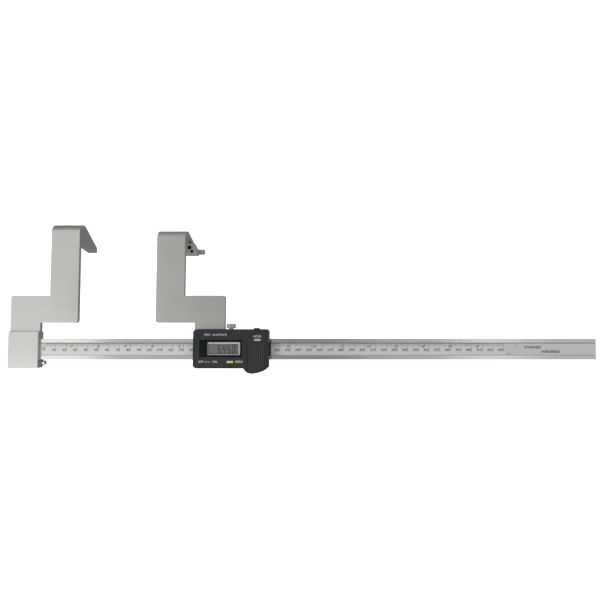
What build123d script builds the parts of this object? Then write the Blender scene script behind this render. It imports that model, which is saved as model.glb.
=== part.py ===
from build123d import *
import math
import os

# Digital caliper with hooked jaws, lying display up, in millimetres.
# +X runs along the beam to its free end, +Y towards the jaw tips, +Z out of the display.
# The origin is on the end block's back face, on the beam's middle line.

# ---- driving dimensions -------------------------------------------------------------------

# beam and end block
BEAM_H = 19.6           # beam height, along Y
BEAM_T = 4.0            # beam and jaw plate thickness
BACK_T = 2.5            # end block's back plate, and how far the beam lies off the table
FRONT_WALL = 3.0        # end block's wall in front of the beam
BLOCK_L = -14.5
FOOT_W = 28.2           # end block, and both jaws' feet
BLOCK_TOP = 16.6
BLOCK_LOW = -17.5
SCALE_ZERO = 18.7       # from the origin to the scale's zero line
BEAM_REACH = 516.5      # from the scale's zero line to the beam's free end
BEAM_INSET = 2.5        # the beam's other end stops this far inside the block
SCALE_W = 11.9          # printed strip between the two bare rails
BOARD_T = 0.4
FILM_T = 0.2

# jaws
JAW_W = 26.6            # both arms
CRANK_LOW = 24.8        # cross bar of each jaw, above the beam's middle line
CRANK_HIGH = 50.3
FIXED_ARM_X = 22.0      # left edge of the fixed arm
FIXED_TOP = 118.3
MOVING_OFFSET = 36.9    # moving arm's left edge, this far left of its foot
MOVING_TOP = 112.4
BEND_R = 4.0            # inner radius of the hook's bend
HOOK_DEPTH = 35.9       # front of the jaw plate to the hook's end
HOOK_END_Y = 100.1      # height of the hook's outer end corner
NOTCH_W = 5.8            # where it meets the hook's end
NOTCH_D = 5.0
CORNER_R = 2.2
HOLE_CLEAR = 0.05       # screw and pin holes, on the radius

# slider and display head
FRAME_INSET = 1.3       # slider frame's right end, inside the housing's
FRAME_CORNER = 1.6
FOOT_AT = 140.0         # moving jaw's foot, this far right of the scale's zero line
HEAD_OFFSET = 1.3       # head's left side, right of the foot's left side
HEAD_W = 69.3
HEAD_TOP = 18.6
HEAD_LOW = -17.7
HEAD_H = 9.0            # housing's height above the slider's rails
SCALE_GAP = 0.3         # sensor board above the beam
SLIDE_CLEAR = 0.05
PLATE_CLEAR = 0.1
WALL = 1.5
CHAMFER = 2.4
BULGE_DROP = 4.8
BULGE_W = 22.7
BULGE_LOW_X = 13.3      # lowest point of the bulge, left of the head's right side
BULGE_RISE = 1.5        # the bulge meets the right side this far above HEAD_LOW
BOARD_H = 1.0
GIB_T = 1.3
GIB_GAP = 0.4
COVER_W = 18.6
COVER_TOP = 6.8
COVER_T = 1.8
COVER_DROP = 0.4        # cover's base below the housing's face, so that the ribs end level
COVER_GAP = 0.1

# window and LCD, from the head's left side and the beam's middle line
WINDOW = (6.2, 45.4, -7.1, 8.7)
WINDOW_T = 1.0
WINDOW_SINK = 0.3
LCD = (12.9, 43.8, -5.5, 6.6)
LCD_VIEW = (14.2, 42.0, -4.4, 4.9)
LCD_T = 1.6
LCD_FRAME_T = 0.6

# buttons: name, centre from the head's left side, centre from the beam's middle line
BUTTONS = (
    ("mm_inch_button", 13.5, 13.6),
    ("on_off_button", 13.8, -11.6),
    ("zero_button", 34.6, -11.6),
    ("hold_button", 59.7, 8.7),
)
BUTTON_W = 6.0
BUTTON_H = 2.0
BUTTON_PROUD = 0.6
BUTTON_TRAVEL = 0.4
BUTTON_CLEAR = 0.12

# lock screw
LOCK_X = 32.6           # from the head's left side
LOCK_HEAD_R = 4.3
LOCK_HEAD_L = 4.1
LOCK_NECK = 1.0
LOCK_R = 1.25
LOCK_PAD_L = 1.2
LOCK_PAD_GAP = 0.25

# contact holder and pin
PIN_R = 2.6
PIN_SHANK_R = 2.2       # inside the holder; the pin's shoulder rests on the holder's face
PIN_DROP = 3.75         # pin's axis below the holder screw's
PIN_BACK = HOOK_DEPTH - 7.6     # pin's axis behind the jaw plate's front
PIN_PROUD = 7.2
HOLDER_W = 13.0
HOLDER_OUT = 3.1        # holder's right face, beyond the arm's right edge
HOLDER_FRONT = HOOK_DEPTH - 14.4    # holder's front face behind the jaw plate's front
HOLDER_BACK = HOOK_DEPTH - 1.6
HOLDER_DROP = 3.5       # holder's lower face below the pin's axis
HOLDER_SCREW_IN = 6.0   # left of the holder's right face
HOLDER_SCREW_GAP = 0.29 # screw's head below the hook
HOLDER_SHANK_R = 1.0
HOLDER_HEAD_R = 2.0
HOLDER_HEAD_L = 2.0
PIN_SCREW_IN = 3.6              # pin's set screw, left of the holder's right face
PIN_SCREW_R = 1.5

# fasteners
SCREW_R = 1.1
HEAD_R = 2.0
HEAD_L = 1.1
DOWEL_R = 1.5

# battery
CELL_R = 5.8
CELL_H = 5.0
CELL_X = 60.6           # from the head's left side
CELL_Y = -4.5

# ---- derived places -----------------------------------------------------------------------

Z_BEAM = BACK_T
Z_FACE = BACK_T + BEAM_T
Z_BLOCK = Z_FACE + FRONT_WALL
Z_RAIL = Z_FACE + SCALE_GAP
Z_BOARD = Z_RAIL + BOARD_H
Z_HEAD = Z_RAIL + HEAD_H
Z_MID = Z_BEAM + BEAM_T / 2
BEAM_TOP = BEAM_H / 2
BLOCK_R = BLOCK_L + FOOT_W
BEAM_END = SCALE_ZERO + BEAM_REACH
FOOT_X = SCALE_ZERO + FOOT_AT
HEAD_X = FOOT_X + HEAD_OFFSET
HEAD_R_X = HEAD_X + HEAD_W
RAIL_X = FOOT_X + FOOT_W + 0.3
COVER_X = HEAD_R_X - COVER_W
MOVING_ARM_X = FOOT_X - MOVING_OFFSET
GUIDE_Y = BEAM_TOP + SLIDE_CLEAR
GIB_LOW = -GUIDE_Y - GIB_T
RAIL_LOW = GIB_LOW - GIB_GAP
HOLDER_X1 = MOVING_ARM_X + JAW_W + HOLDER_OUT
HOLDER_X0 = HOLDER_X1 - HOLDER_W
PIN_Z = Z_FACE - PIN_BACK


# ---- helpers ------------------------------------------------------------------------------

def slab(x0, x1, y0, y1, z0, z1):
    """A box between two corners."""
    size = Box(x1 - x0, y1 - y0, z1 - z0)
    return Pos((x0 + x1) / 2, (y0 + y1) / 2, (z0 + z1) / 2) * size


def rod_x(x0, x1, y, z, r):
    """A cylinder along X."""
    return Pos((x0 + x1) / 2, y, z) * Rot(0, 90, 0) * Cylinder(r, x1 - x0)


def rod_y(y0, y1, x, z, r):
    """A cylinder along Y."""
    return Pos(x, (y0 + y1) / 2, z) * Rot(90, 0, 0) * Cylinder(r, y1 - y0)


def rod_z(z0, z1, x, y, r):
    """A cylinder along Z."""
    return Pos(x, y, (z0 + z1) / 2) * Cylinder(r, z1 - z0)


def raised(sketch, z0, z1):
    """A flat outline made solid between two heights."""
    return Pos(0, 0, z0) * extrude(sketch, z1 - z0)


def soften(part, edges, size):
    """Round edges, if there are any."""
    return fillet(edges, size) if len(edges) else part


def edges_along(part, axis):
    return part.edges().filter_by(axis)


def back_screw(x, y, length, sink=0.2):
    """A countersunk screw whose head lies just inside the back face."""
    head = Pos(x, y, sink + HEAD_L / 2) * Cone(HEAD_R, SCREW_R, HEAD_L)
    shank = rod_z(sink + HEAD_L, sink + length, x, y, SCREW_R)
    slot = slab(x - HEAD_R, x + HEAD_R, y - 0.25, y + 0.25, 0, sink + 0.45)
    return head + shank - slot


def back_screw_hole(x, y, length, sink=0.2):
    mouth = rod_z(-0.1, sink, x, y, HEAD_R + HOLE_CLEAR)
    head = Pos(x, y, sink + HEAD_L / 2) * Cone(HEAD_R + HOLE_CLEAR, SCREW_R + HOLE_CLEAR, HEAD_L)
    shank = rod_z(sink, sink + length + 0.3, x, y, SCREW_R + HOLE_CLEAR)
    return mouth + head + shank


def save(name, *solids):
    """Write one node's solids to its own file."""
    shape = solids[0] if len(solids) == 1 else Compound(children=list(solids))
    shape.label = name
    export_step(shape, f"parts/{name}.step")


os.makedirs("parts", exist_ok=True)


# ---- jaws ---------------------------------------------------------------------------------

def hook_profile(top):
    """Side outline of an arm and its hook, drawn with local X as Y and local Y as Z."""
    outer = BEND_R + BEAM_T
    cy = top - outer
    cz = Z_BEAM - BEND_R
    vy = HOOK_END_Y - cy
    vz = Z_FACE - HOOK_DEPTH - cz
    reach = math.sqrt(vy * vy + vz * vz - outer * outer)
    slope = -math.atan2(vz, vy) - math.atan2(reach, outer)
    normal = (math.cos(slope), -math.sin(slope))
    along = (-math.sin(slope), -math.cos(slope))

    def at(radius, run):
        return (cy + radius * normal[0] + run * along[0], cz + radius * normal[1] + run * along[1])

    def bend(radius):
        half = (math.pi / 2 - slope) / 2
        return (cy + radius * math.cos(half), cz + radius * math.sin(half))

    start = CRANK_LOW + 2
    line_up = Line((start, Z_FACE), (cy, Z_FACE))
    arc_out = ThreePointArc((cy, Z_FACE), bend(outer), at(outer, 0))
    line_out = Line(at(outer, 0), at(outer, reach))
    reach_in = reach + BEAM_T * math.tan(slope)  # the end is cut level with the beam
    end = Line(at(outer, reach), at(BEND_R, reach_in))
    line_in = Line(at(BEND_R, reach_in), at(BEND_R, 0))
    arc_in = ThreePointArc(at(BEND_R, 0), bend(BEND_R), (cy, Z_BEAM))
    line_down = Line((cy, Z_BEAM), (start, Z_BEAM))
    close = Line((start, Z_BEAM), (start, Z_FACE))
    outline = Wire([line_up, arc_out, line_out, end, line_in, arc_in, line_down, close])
    return outline, slope, at, reach


def arm_and_hook(x0, top):
    """The upright arm with its hook bent backwards."""
    outline, slope, at, reach = hook_profile(top)
    side = Plane(origin=(x0, 0, 0), x_dir=(0, 1, 0), z_dir=(1, 0, 0))
    face = side * make_face(outline)
    return extrude(face, JAW_W, dir=(1, 0, 0)), slope, at, reach


def jaw_plate(foot_x, foot_w, foot_y, arm_x):
    """Foot and cross bar of a jaw, in the plane of the beam, up to the arm's start."""
    foot = slab(foot_x, foot_x + foot_w, foot_y, CRANK_HIGH, Z_BEAM, Z_FACE)
    bar_x0 = min(foot_x, arm_x)
    bar_x1 = max(foot_x + foot_w, arm_x + JAW_W)
    bar = slab(bar_x0, bar_x1, CRANK_LOW, CRANK_HIGH, Z_BEAM, Z_FACE)
    return foot, bar, bar_x0, bar_x1


def round_outline(part, corners):
    """Round the upright edges that stand at the given corners."""
    for x, y in corners:
        near = [
            e for e in part.edges().filter_by(Axis.Z)
            if abs(e.center().X - x) < 0.01 and abs(e.center().Y - y) < 0.01
        ]
        part = soften(part, near, CORNER_R)
    return part


# fixed jaw: its foot stands on the beam's top edge inside the end block
foot, bar, bar_x0, bar_x1 = jaw_plate(BLOCK_L, FOOT_W, BEAM_TOP, FIXED_ARM_X)
arm, slope, hook_at, hook_run = arm_and_hook(FIXED_ARM_X, FIXED_TOP)
fixed_jaw = foot + bar + arm
fixed_jaw = round_outline(fixed_jaw, [(bar_x0, CRANK_HIGH), (bar_x1, CRANK_LOW)])

# the notch in the middle of the hook's end, cut square to the hook
notch_y, notch_z = hook_at(BEND_R + BEAM_T / 2, hook_run)
notch_plane = Plane(
    origin=(FIXED_ARM_X + JAW_W / 2, notch_y, notch_z),
    x_dir=(1, 0, 0),
    z_dir=(0, math.cos(slope), -math.sin(slope)),
)
NOTCH_OVER = 4.0
notch_half = NOTCH_W / 2 * (1 + NOTCH_OVER / NOTCH_D)
notch = make_face(Polyline(
    (-notch_half, NOTCH_OVER), (notch_half, NOTCH_OVER), (0, -NOTCH_D), close=True
))
notch_out = Vector(0, -math.sin(slope), -math.cos(slope))
if notch_plane.y_dir.dot(notch_out) < 0:
    notch = Rot(0, 0, 180) * notch
notch_tool = extrude(notch_plane * notch, BEAM_T, both=True)
fixed_jaw = fixed_jaw - notch_tool

# the ground nose that touches the work, at the hook's outer side
NOSE_L = 2.2
NOSE_W = 6.0
nose_mid = hook_at(BEND_R + BEAM_T / 2, hook_run - NOSE_W / 2)
nose = Box(NOSE_L + 1, BEAM_T - 1, NOSE_W - 1)
nose_turn = Rot(-math.degrees(slope), 0, 0)
nose = Pos(FIXED_ARM_X - NOSE_L / 2 + 0.5, nose_mid[0], nose_mid[1]) * nose_turn * nose
fixed_jaw = fixed_jaw + nose

FIXED_SCREWS = ((-9.5, 13.0), (6.5, 13.0), (-9.5, -13.5), (11.4, -15.2))
BLOCK_SCREW_L = 7.6
DOWELS = ((-6.0, 0.0), (6.0, 0.0))
screw_holes = [back_screw_hole(x, y, BLOCK_SCREW_L) for x, y in FIXED_SCREWS]
for hole in screw_holes:
    fixed_jaw = fixed_jaw - hole

# moving jaw: its foot guides on the beam's top edge
foot, bar, bar_x0, bar_x1 = jaw_plate(FOOT_X, FOOT_W, GUIDE_Y, MOVING_ARM_X)
arm, slope, hook_at, hook_run = arm_and_hook(MOVING_ARM_X, MOVING_TOP)
moving_jaw = foot + bar + arm
moving_jaw = round_outline(moving_jaw, [(bar_x0, CRANK_LOW), (bar_x1, CRANK_HIGH)])
under_hook = hook_at(BEND_R, hook_run)


def hook_underside(z):
    """Height of the moving hook's underside at depth z."""
    return under_hook[0] + (z - under_hook[1]) * math.tan(slope)


HOLDER_SCREW_X = HOLDER_X1 - HOLDER_SCREW_IN
HOLDER_SCREW_L = 11.5
Z_HOLDER = Z_FACE - HOLDER_FRONT
screw_top = Z_HOLDER - 0.8
screw_z1 = screw_top - HOLDER_HEAD_L
screw_low = screw_top - HOLDER_SCREW_L
HOLDER_SCREW_Y = hook_underside(screw_z1) - HOLDER_HEAD_R - HOLDER_SCREW_GAP
PIN_Y = HOLDER_SCREW_Y - PIN_DROP
HOLDER_LOW = PIN_Y - HOLDER_DROP
holder_shank = rod_z(screw_low, screw_z1, HOLDER_SCREW_X, HOLDER_SCREW_Y, HOLDER_SHANK_R)
holder_shank_hole = rod_z(
    screw_low - 0.3, screw_z1, HOLDER_SCREW_X, HOLDER_SCREW_Y, HOLDER_SHANK_R + HOLE_CLEAR
)
moving_jaw = moving_jaw - holder_shank_hole

JAW_SCREWS = tuple((FOOT_X + dx, 13.2) for dx in (6.5, 14.1, 21.7))
JAW_SCREW_L = 5.8
for x, y in JAW_SCREWS:
    moving_jaw = moving_jaw - back_screw_hole(x, y, JAW_SCREW_L)

save("fixed_jaw", fixed_jaw)
save("moving_jaw", moving_jaw)

# ---- beam, scale and end block -----------------------------------------------------------------

beam = slab(BLOCK_L + BEAM_INSET, BEAM_END, -BEAM_TOP, BEAM_TOP, Z_BEAM, Z_FACE)
beam = chamfer(edges_along(beam, Axis.X), 0.25)
SCALE_X0 = BLOCK_R + 0.4
SCALE_X1 = BEAM_END - 1.5
Z_FILM = Z_FACE - FILM_T
Z_SCALE = Z_FILM - BOARD_T
scale_bed = slab(SCALE_X0, SCALE_X1, -SCALE_W / 2, SCALE_W / 2, Z_SCALE, Z_FACE + 1)
beam = beam - scale_bed
for x, y in DOWELS:
    beam = beam - rod_z(0, Z_BLOCK, x, y, DOWEL_R + HOLE_CLEAR)
STOP_L = 8.0
STOP_LIFT = 0.3
STOP_X = BEAM_END - 5.0 - STOP_L
STOP_SCREW_X = STOP_X + STOP_L / 2
STOP_SCREW_L = 5.0
STOP_SINK = STOP_LIFT + 0.2
beam = beam - back_screw_hole(STOP_SCREW_X, 0, STOP_SCREW_L, STOP_SINK)
save("beam", beam)

board = slab(SCALE_X0, SCALE_X1, -SCALE_W / 2, SCALE_W / 2, Z_SCALE, Z_FILM)
film = slab(SCALE_X0, SCALE_X1, -SCALE_W / 2, SCALE_W / 2, Z_FILM, Z_FACE)
save("scale_board", board)
save("scale_film", film)

stop = slab(STOP_X, STOP_X + STOP_L, -6, 6, STOP_LIFT, Z_BEAM)
stop = fillet(edges_along(stop, Axis.Z), 1.0)
stop = stop - back_screw_hole(STOP_SCREW_X, 0, STOP_SCREW_L, STOP_SINK)
save("end_stop", stop)
save("end_stop_screw", back_screw(STOP_SCREW_X, 0, STOP_SCREW_L, STOP_SINK))

# wedge gib under the beam, pushed by the adjusting screw through the block's right wall
GIB_H = 4.6
GIB_X0 = -4.0
GIB_X1 = BLOCK_R - 4.4
ADJUST_Y = -BEAM_TOP - 2.8
gib = slab(GIB_X0, GIB_X1, -BEAM_TOP - GIB_H, -BEAM_TOP, Z_BEAM, Z_FACE)
save("wedge_gib", gib)

front = slab(BLOCK_L, BLOCK_R, BLOCK_LOW, BLOCK_TOP, Z_FACE, Z_BLOCK)
front = chamfer(front.edges().group_by(Axis.Z)[-1], 0.3)
left_wall = slab(BLOCK_L, BLOCK_L + BEAM_INSET - 0.2, BLOCK_LOW, BEAM_TOP - 0.2, Z_BEAM, Z_FACE)
under = slab(BLOCK_L, BLOCK_R, BLOCK_LOW, -BEAM_TOP, Z_BEAM, Z_FACE)
gib_room = slab(GIB_X0 - 0.2, GIB_X1 + 0.3, -BEAM_TOP - GIB_H, 0, Z_BEAM, Z_FACE)
end_block = front + left_wall + (under - gib_room)
for hole in screw_holes:
    end_block = end_block - hole
for x, y in DOWELS:
    end_block = end_block - rod_z(0, Z_BLOCK - 1.2, x, y, DOWEL_R + HOLE_CLEAR)
end_block = end_block - rod_x(GIB_X1, BLOCK_R + 1, ADJUST_Y, Z_MID, SCREW_R + HOLE_CLEAR)
save("end_block", end_block)

back_plate = slab(BLOCK_L, BLOCK_R, BLOCK_LOW, BLOCK_TOP, 0, Z_BEAM)
back_plate = chamfer(back_plate.edges().group_by(Axis.Z)[0], 0.3)
for hole in screw_holes:
    back_plate = back_plate - hole
for x, y in DOWELS:
    back_plate = back_plate - rod_z(1.0, Z_BEAM + 1, x, y, DOWEL_R + HOLE_CLEAR)
save("end_back_plate", back_plate)

save("end_block_screws", *[back_screw(x, y, BLOCK_SCREW_L) for x, y in FIXED_SCREWS])
save("end_dowels", *[rod_z(1.1, Z_BLOCK - 1.3, x, y, DOWEL_R) for x, y in DOWELS])

NUT_T = 1.8
nut = Pos(BLOCK_R + NUT_T / 2, ADJUST_Y, Z_MID) * Rot(0, 90, 0) * extrude(
    RegularPolygon(2.6, 6, major_radius=False), NUT_T / 2, both=True
)
nut = nut - rod_x(BLOCK_R - 1, BLOCK_R + NUT_T + 1, ADJUST_Y, Z_MID, SCREW_R + HOLE_CLEAR)
save("adjusting_lock_nut", nut)
ADJUST_HEAD_X = BLOCK_R + NUT_T + 0.5
adjusting = rod_x(GIB_X1, ADJUST_HEAD_X, ADJUST_Y, Z_MID, SCREW_R)
adjusting_head = rod_x(ADJUST_HEAD_X, ADJUST_HEAD_X + 2.7, ADJUST_Y, Z_MID, 2.1)
adjusting_head = chamfer(adjusting_head.edges().group_by(Axis.X)[-1], 0.3)
adjusting = adjusting + adjusting_head
adjusting = adjusting - slab(
    ADJUST_HEAD_X + 1.9, ADJUST_HEAD_X + 3, ADJUST_Y - 3, ADJUST_Y + 3, Z_MID - 0.25, Z_MID + 0.25
)
save("adjusting_screw", adjusting)

# ---- slider frame and its small parts --------------------------------------------------------------

FRAME_X0 = HEAD_X + 0.2
FRAME_X1 = HEAD_R_X - FRAME_INSET
frame_back = slab(FRAME_X0, FRAME_X1, HEAD_LOW, HEAD_TOP, 0, Z_BEAM - PLATE_CLEAR)
top_rail = slab(RAIL_X, FRAME_X1, GUIDE_Y, HEAD_TOP, 0, Z_RAIL)
low_rail = slab(FRAME_X0, FRAME_X1, HEAD_LOW, RAIL_LOW, 0, Z_RAIL)
slider_frame = frame_back + top_rail + low_rail
foot_seat = slab(FRAME_X0, RAIL_X, GUIDE_Y + 0.2, HEAD_TOP, Z_BEAM - PLATE_CLEAR, Z_BEAM)
slider_frame = slider_frame + foot_seat
right_corners = slider_frame.edges().filter_by(Axis.Z).group_by(Axis.X)[-1]
slider_frame = chamfer([e for e in right_corners if abs(e.center().Y) > BEAM_TOP + 4], FRAME_CORNER)
slider_frame = chamfer(slider_frame.edges().group_by(Axis.Z)[0], 0.3)
for x, y in JAW_SCREWS:
    slider_frame = slider_frame - back_screw_hole(x, y, JAW_SCREW_L)

LOCK_AXIS_X = HEAD_X + LOCK_X
slider_frame = slider_frame - rod_y(0, HEAD_TOP + 1, LOCK_AXIS_X, Z_MID, LOCK_R + HOLE_CLEAR)
GIB_SCREWS = tuple(HEAD_X + dx for dx in (18.0, 53.0))
for x in GIB_SCREWS:
    slider_frame = slider_frame - rod_y(HEAD_LOW - 1, RAIL_LOW + 1, x, Z_MID, 1.0 + HOLE_CLEAR)

HOUSING_SCREWS = (
    (HEAD_X + 42.0, HEAD_TOP - 4.2), (HEAD_R_X - 4.2, HEAD_TOP - 4.2),
    (HEAD_X + 4.6, HEAD_LOW + 3.2), (HEAD_X + 45.0, HEAD_LOW + 3.2),
)
HOUSING_SCREW_L = 12.0
for x, y in HOUSING_SCREWS:
    slider_frame = slider_frame - back_screw_hole(x, y, HOUSING_SCREW_L)
save("slider_frame", slider_frame)
save("jaw_screws", *[back_screw(x, y, JAW_SCREW_L) for x, y in JAW_SCREWS])
save("housing_screws", *[back_screw(x, y, HOUSING_SCREW_L) for x, y in HOUSING_SCREWS])

slider_gib = slab(FRAME_X0 + 1, FRAME_X1 - 1, GIB_LOW, -GUIDE_Y, Z_BEAM + 0.05, Z_FACE - 0.05)
save("slider_gib", slider_gib)


def gib_screw(x):
    body = rod_y(HEAD_LOW + 0.5, GIB_LOW, x, Z_MID, 1.0)
    return body - slab(x - 1.2, x + 1.2, HEAD_LOW, HEAD_LOW + 1.0, Z_MID - 0.2, Z_MID + 0.2)


save("gib_set_screws", *[gib_screw(x) for x in GIB_SCREWS])

# lock screw with a knurled head, and the brass pad that it presses on the beam
PAD_Y0 = BEAM_TOP + LOCK_PAD_GAP
PAD_Y1 = PAD_Y0 + LOCK_PAD_L
LOCK_HEAD_Y = HEAD_TOP + LOCK_NECK
lock_pad = rod_y(PAD_Y0, PAD_Y1, LOCK_AXIS_X, Z_MID, LOCK_R)
save("lock_pad", lock_pad)
lock_shank = rod_y(PAD_Y1, HEAD_TOP, LOCK_AXIS_X, Z_MID, LOCK_R)
lock_neck = rod_y(HEAD_TOP + 0.1, LOCK_HEAD_Y, LOCK_AXIS_X, Z_MID, LOCK_R + 0.8)
lock_neck = lock_neck + rod_y(HEAD_TOP - 0.5, LOCK_HEAD_Y, LOCK_AXIS_X, Z_MID, LOCK_R)
lock_head = rod_y(LOCK_HEAD_Y, LOCK_HEAD_Y + LOCK_HEAD_L, LOCK_AXIS_X, Z_MID, LOCK_HEAD_R)
lock_head = chamfer(lock_head.edges().filter_by(GeomType.CIRCLE), 0.5)
lock_screw = lock_shank + lock_neck + lock_head
KNURLS = 30
groove = Cylinder(0.28, LOCK_HEAD_L + 1)
for i in range(KNURLS):
    turn = 360 * i / KNURLS
    place = Pos(LOCK_AXIS_X, LOCK_HEAD_Y + LOCK_HEAD_L / 2, Z_MID) * Rot(0, turn, 0)
    lock_screw = lock_screw - place * Pos(LOCK_HEAD_R + 0.08, 0, 0) * Rot(90, 0, 0) * groove
save("lock_screw", lock_screw)

# ---- display head --------------------------------------------------------------------------------

CORNER = 2.8


def head_outline(inset):
    """The head's outline with its bulge at the lower right, moved inwards by inset."""
    left = HEAD_X + inset
    right = HEAD_R_X - inset
    top = HEAD_TOP - inset
    low = HEAD_LOW + inset
    cut = CHAMFER - inset * 0.4
    round_r = CORNER - inset
    round_in = round_r * (1 - math.sqrt(0.5))
    bulge_end = (right, HEAD_LOW + BULGE_RISE + inset)
    bulge_low = (HEAD_R_X - BULGE_LOW_X, low - BULGE_DROP)
    bulge_start = (HEAD_R_X - BULGE_W + inset, low)
    right_via = (right - (BULGE_LOW_X - inset) * 0.45, low - BULGE_DROP * 0.60)
    left_via = (HEAD_R_X - BULGE_W + inset + 3.2, low - BULGE_DROP * 0.74)
    return make_face(Wire([
        Line((left + cut, top), (right - round_r, top)),
        ThreePointArc((right - round_r, top), (right - round_in, top - round_in), (right, top - round_r)),
        Line((right, top - round_r), bulge_end),
        ThreePointArc(bulge_end, right_via, bulge_low),
        ThreePointArc(bulge_low, left_via, bulge_start),
        Line(bulge_start, (left + cut, low)),
        Line((left + cut, low), (left, low + cut)),
        Line((left, low + cut), (left, top - cut)),
        Line((left, top - cut), (left + cut, top)),
    ]))


head_face = head_outline(0)
inner_face = head_outline(WALL)


def bevelled(z0, z1, bevel):
    """The head's outline made solid, with a bevel all round its upper face."""
    body = raised(head_face, z0, z1 - bevel)
    lower = Pos(0, 0, z1 - bevel) * head_face
    upper = Pos(0, 0, z1) * head_outline(bevel)
    return body + loft([lower, upper], ruled=True)


housing = bevelled(Z_RAIL, Z_HEAD, 0.5)
housing = housing - raised(inner_face, Z_RAIL - 1, Z_HEAD - WALL)
# floor of the bulge, where no rail lies below it
floor = raised(head_face, Z_RAIL, Z_RAIL + WALL)
floor = floor - slab(HEAD_X - 1, HEAD_R_X + 1, HEAD_LOW, HEAD_TOP + 1, Z_RAIL - 1, Z_HEAD)
housing = housing + floor

# ledge under the window, then its recess and the opening for the LCD
w0, w1, w2, w3 = WINDOW
WIN_X0 = HEAD_X + w0
WIN_X1 = HEAD_X + w1
Z_WIN1 = Z_HEAD - WINDOW_SINK
Z_WIN0 = Z_WIN1 - WINDOW_T
LEDGE = 0.8
housing = housing + slab(WIN_X0 - 1, WIN_X1 + 1, w2 - 1, w3 + 1, Z_WIN0 - LEDGE, Z_HEAD - WALL)
housing = housing - slab(WIN_X0 - 0.05, WIN_X1 + 0.05, w2 - 0.05, w3 + 0.05, Z_WIN0, Z_HEAD + 1)
l0, l1, l2, l3 = LCD
LCD_X0 = HEAD_X + l0
LCD_X1 = HEAD_X + l1
FIT = 0.1
housing = housing - slab(
    LCD_X0 - FIT, LCD_X1 + FIT, l2 - FIT, l3 + FIT, Z_WIN0 - LEDGE - 1, Z_WIN0 + 0.1
)

# bosses for the housing screws
BOSS_R = 2.1
for x, y in HOUSING_SCREWS:
    top = Z_HEAD - WALL
    housing = housing + rod_z(Z_RAIL, top, x, y, BOSS_R)
    housing = housing - back_screw_hole(x, y, HOUSING_SCREW_L)

# battery bay: the face is cut away where the cover lies, with a pocket for the cover's tongue
Z_COVER = Z_HEAD - COVER_DROP - COVER_T
housing = housing - slab(COVER_X, HEAD_R_X + 1, HEAD_LOW - 10, COVER_TOP, Z_COVER, Z_HEAD + 1)

# button holes
for name, bx, by in BUTTONS:
    x = HEAD_X + bx
    half_w = BUTTON_W / 2 + BUTTON_CLEAR
    half_h = BUTTON_H / 2 + BUTTON_CLEAR
    housing = housing - slab(x - half_w, x + half_w, by - half_h, by + half_h, Z_HEAD - 3, Z_HEAD + 1)

# slot in the top wall for the port cover, and the port behind it
PORT_X0 = HEAD_R_X - 18.0
PORT_Z0 = Z_RAIL + 1.6
PORT_Z1 = Z_HEAD - 2.0
PORT_T = 0.9
PORT_CLEAR = 0.1
housing = housing - slab(
    PORT_X0 - PORT_CLEAR, HEAD_R_X + 1, HEAD_TOP - PORT_T - PORT_CLEAR, HEAD_TOP + 1,
    PORT_Z0 - PORT_CLEAR, PORT_Z1 + PORT_CLEAR
)
PORT_HOLE_X0 = PORT_X0 + 1.5
PORT_HOLE_X1 = HEAD_R_X - 7.0
housing = housing - slab(
    PORT_HOLE_X0, PORT_HOLE_X1, HEAD_TOP - 3, HEAD_TOP + 1, PORT_Z0 + 0.8, PORT_Z1 - 0.8
)

# notches for the two wipers in the end walls
WIPER_W = 13.0
WIPER_T = 1.2
WIPER_Z1 = Z_RAIL + 2.4
for x0 in (HEAD_X - 1, HEAD_R_X - WALL - 0.1):
    housing = housing - slab(
        x0, x0 + WALL + 1.2, -WIPER_W / 2, WIPER_W / 2, Z_RAIL - 1, WIPER_Z1
    )
save("front_housing", housing)

WIPER_OUT = 0.6
WIPER_OUT_R = 1.3
wiper_left = slab(
    HEAD_X - WIPER_OUT, HEAD_X + WIPER_T, -WIPER_W / 2, WIPER_W / 2, Z_FACE + 0.05, WIPER_Z1
)
wiper_right = slab(
    HEAD_R_X - WIPER_T, HEAD_R_X + WIPER_OUT_R, -WIPER_W / 2, WIPER_W / 2, Z_FACE + 0.05, WIPER_Z1
)
wiper_left = chamfer(wiper_left.edges().filter_by(Axis.Y).group_by(Axis.X)[0], 0.3)
wiper_right = chamfer(wiper_right.edges().filter_by(Axis.Y).group_by(Axis.X)[-1], 0.3)
save("wipers", wiper_left, wiper_right)

window = slab(WIN_X0, WIN_X1, w2, w3, Z_WIN0, Z_WIN1)
window = chamfer(window.edges().group_by(Axis.Z)[-1], 0.2)
save("display_window", window)

v0, v1, v2, v3 = LCD_VIEW
Z_LCDF = Z_WIN0 - LCD_FRAME_T
lcd_frame = slab(LCD_X0, LCD_X1, l2, l3, Z_LCDF, Z_WIN0)
lcd_frame = lcd_frame - slab(HEAD_X + v0, HEAD_X + v1, v2, v3, Z_LCDF - 1, Z_WIN0 + 1)
save("lcd_frame", lcd_frame)
Z_LCD = Z_LCDF - LCD_T
lcd = slab(LCD_X0 + 0.3, LCD_X1 - 0.3, l2 + 0.3, l3 - 0.3, Z_LCD, Z_LCDF)
save("lcd_panel", lcd)

# holder that carries the LCD and its two rubber connectors above the board
STRIP_W = 1.8
strip_ys = (l2 + 1.2, l3 - 1.2 - STRIP_W)
holder = slab(LCD_X0, LCD_X1, l2, l3, Z_BOARD, Z_LCD)
holder = holder - slab(
    LCD_X0 + 3, LCD_X1 - 3, strip_ys[0] + STRIP_W + 1, strip_ys[1] - 1, Z_BOARD - 1, Z_LCD + 1
)
strips = []
for y in strip_ys:
    strip = slab(LCD_X0 + 1.5, LCD_X1 - 1.5, y, y + STRIP_W, Z_BOARD, Z_LCD)
    holder = holder - strip
    strips.append(strip)
save("lcd_holder", holder)
save("zebra_strips", *strips)

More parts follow.
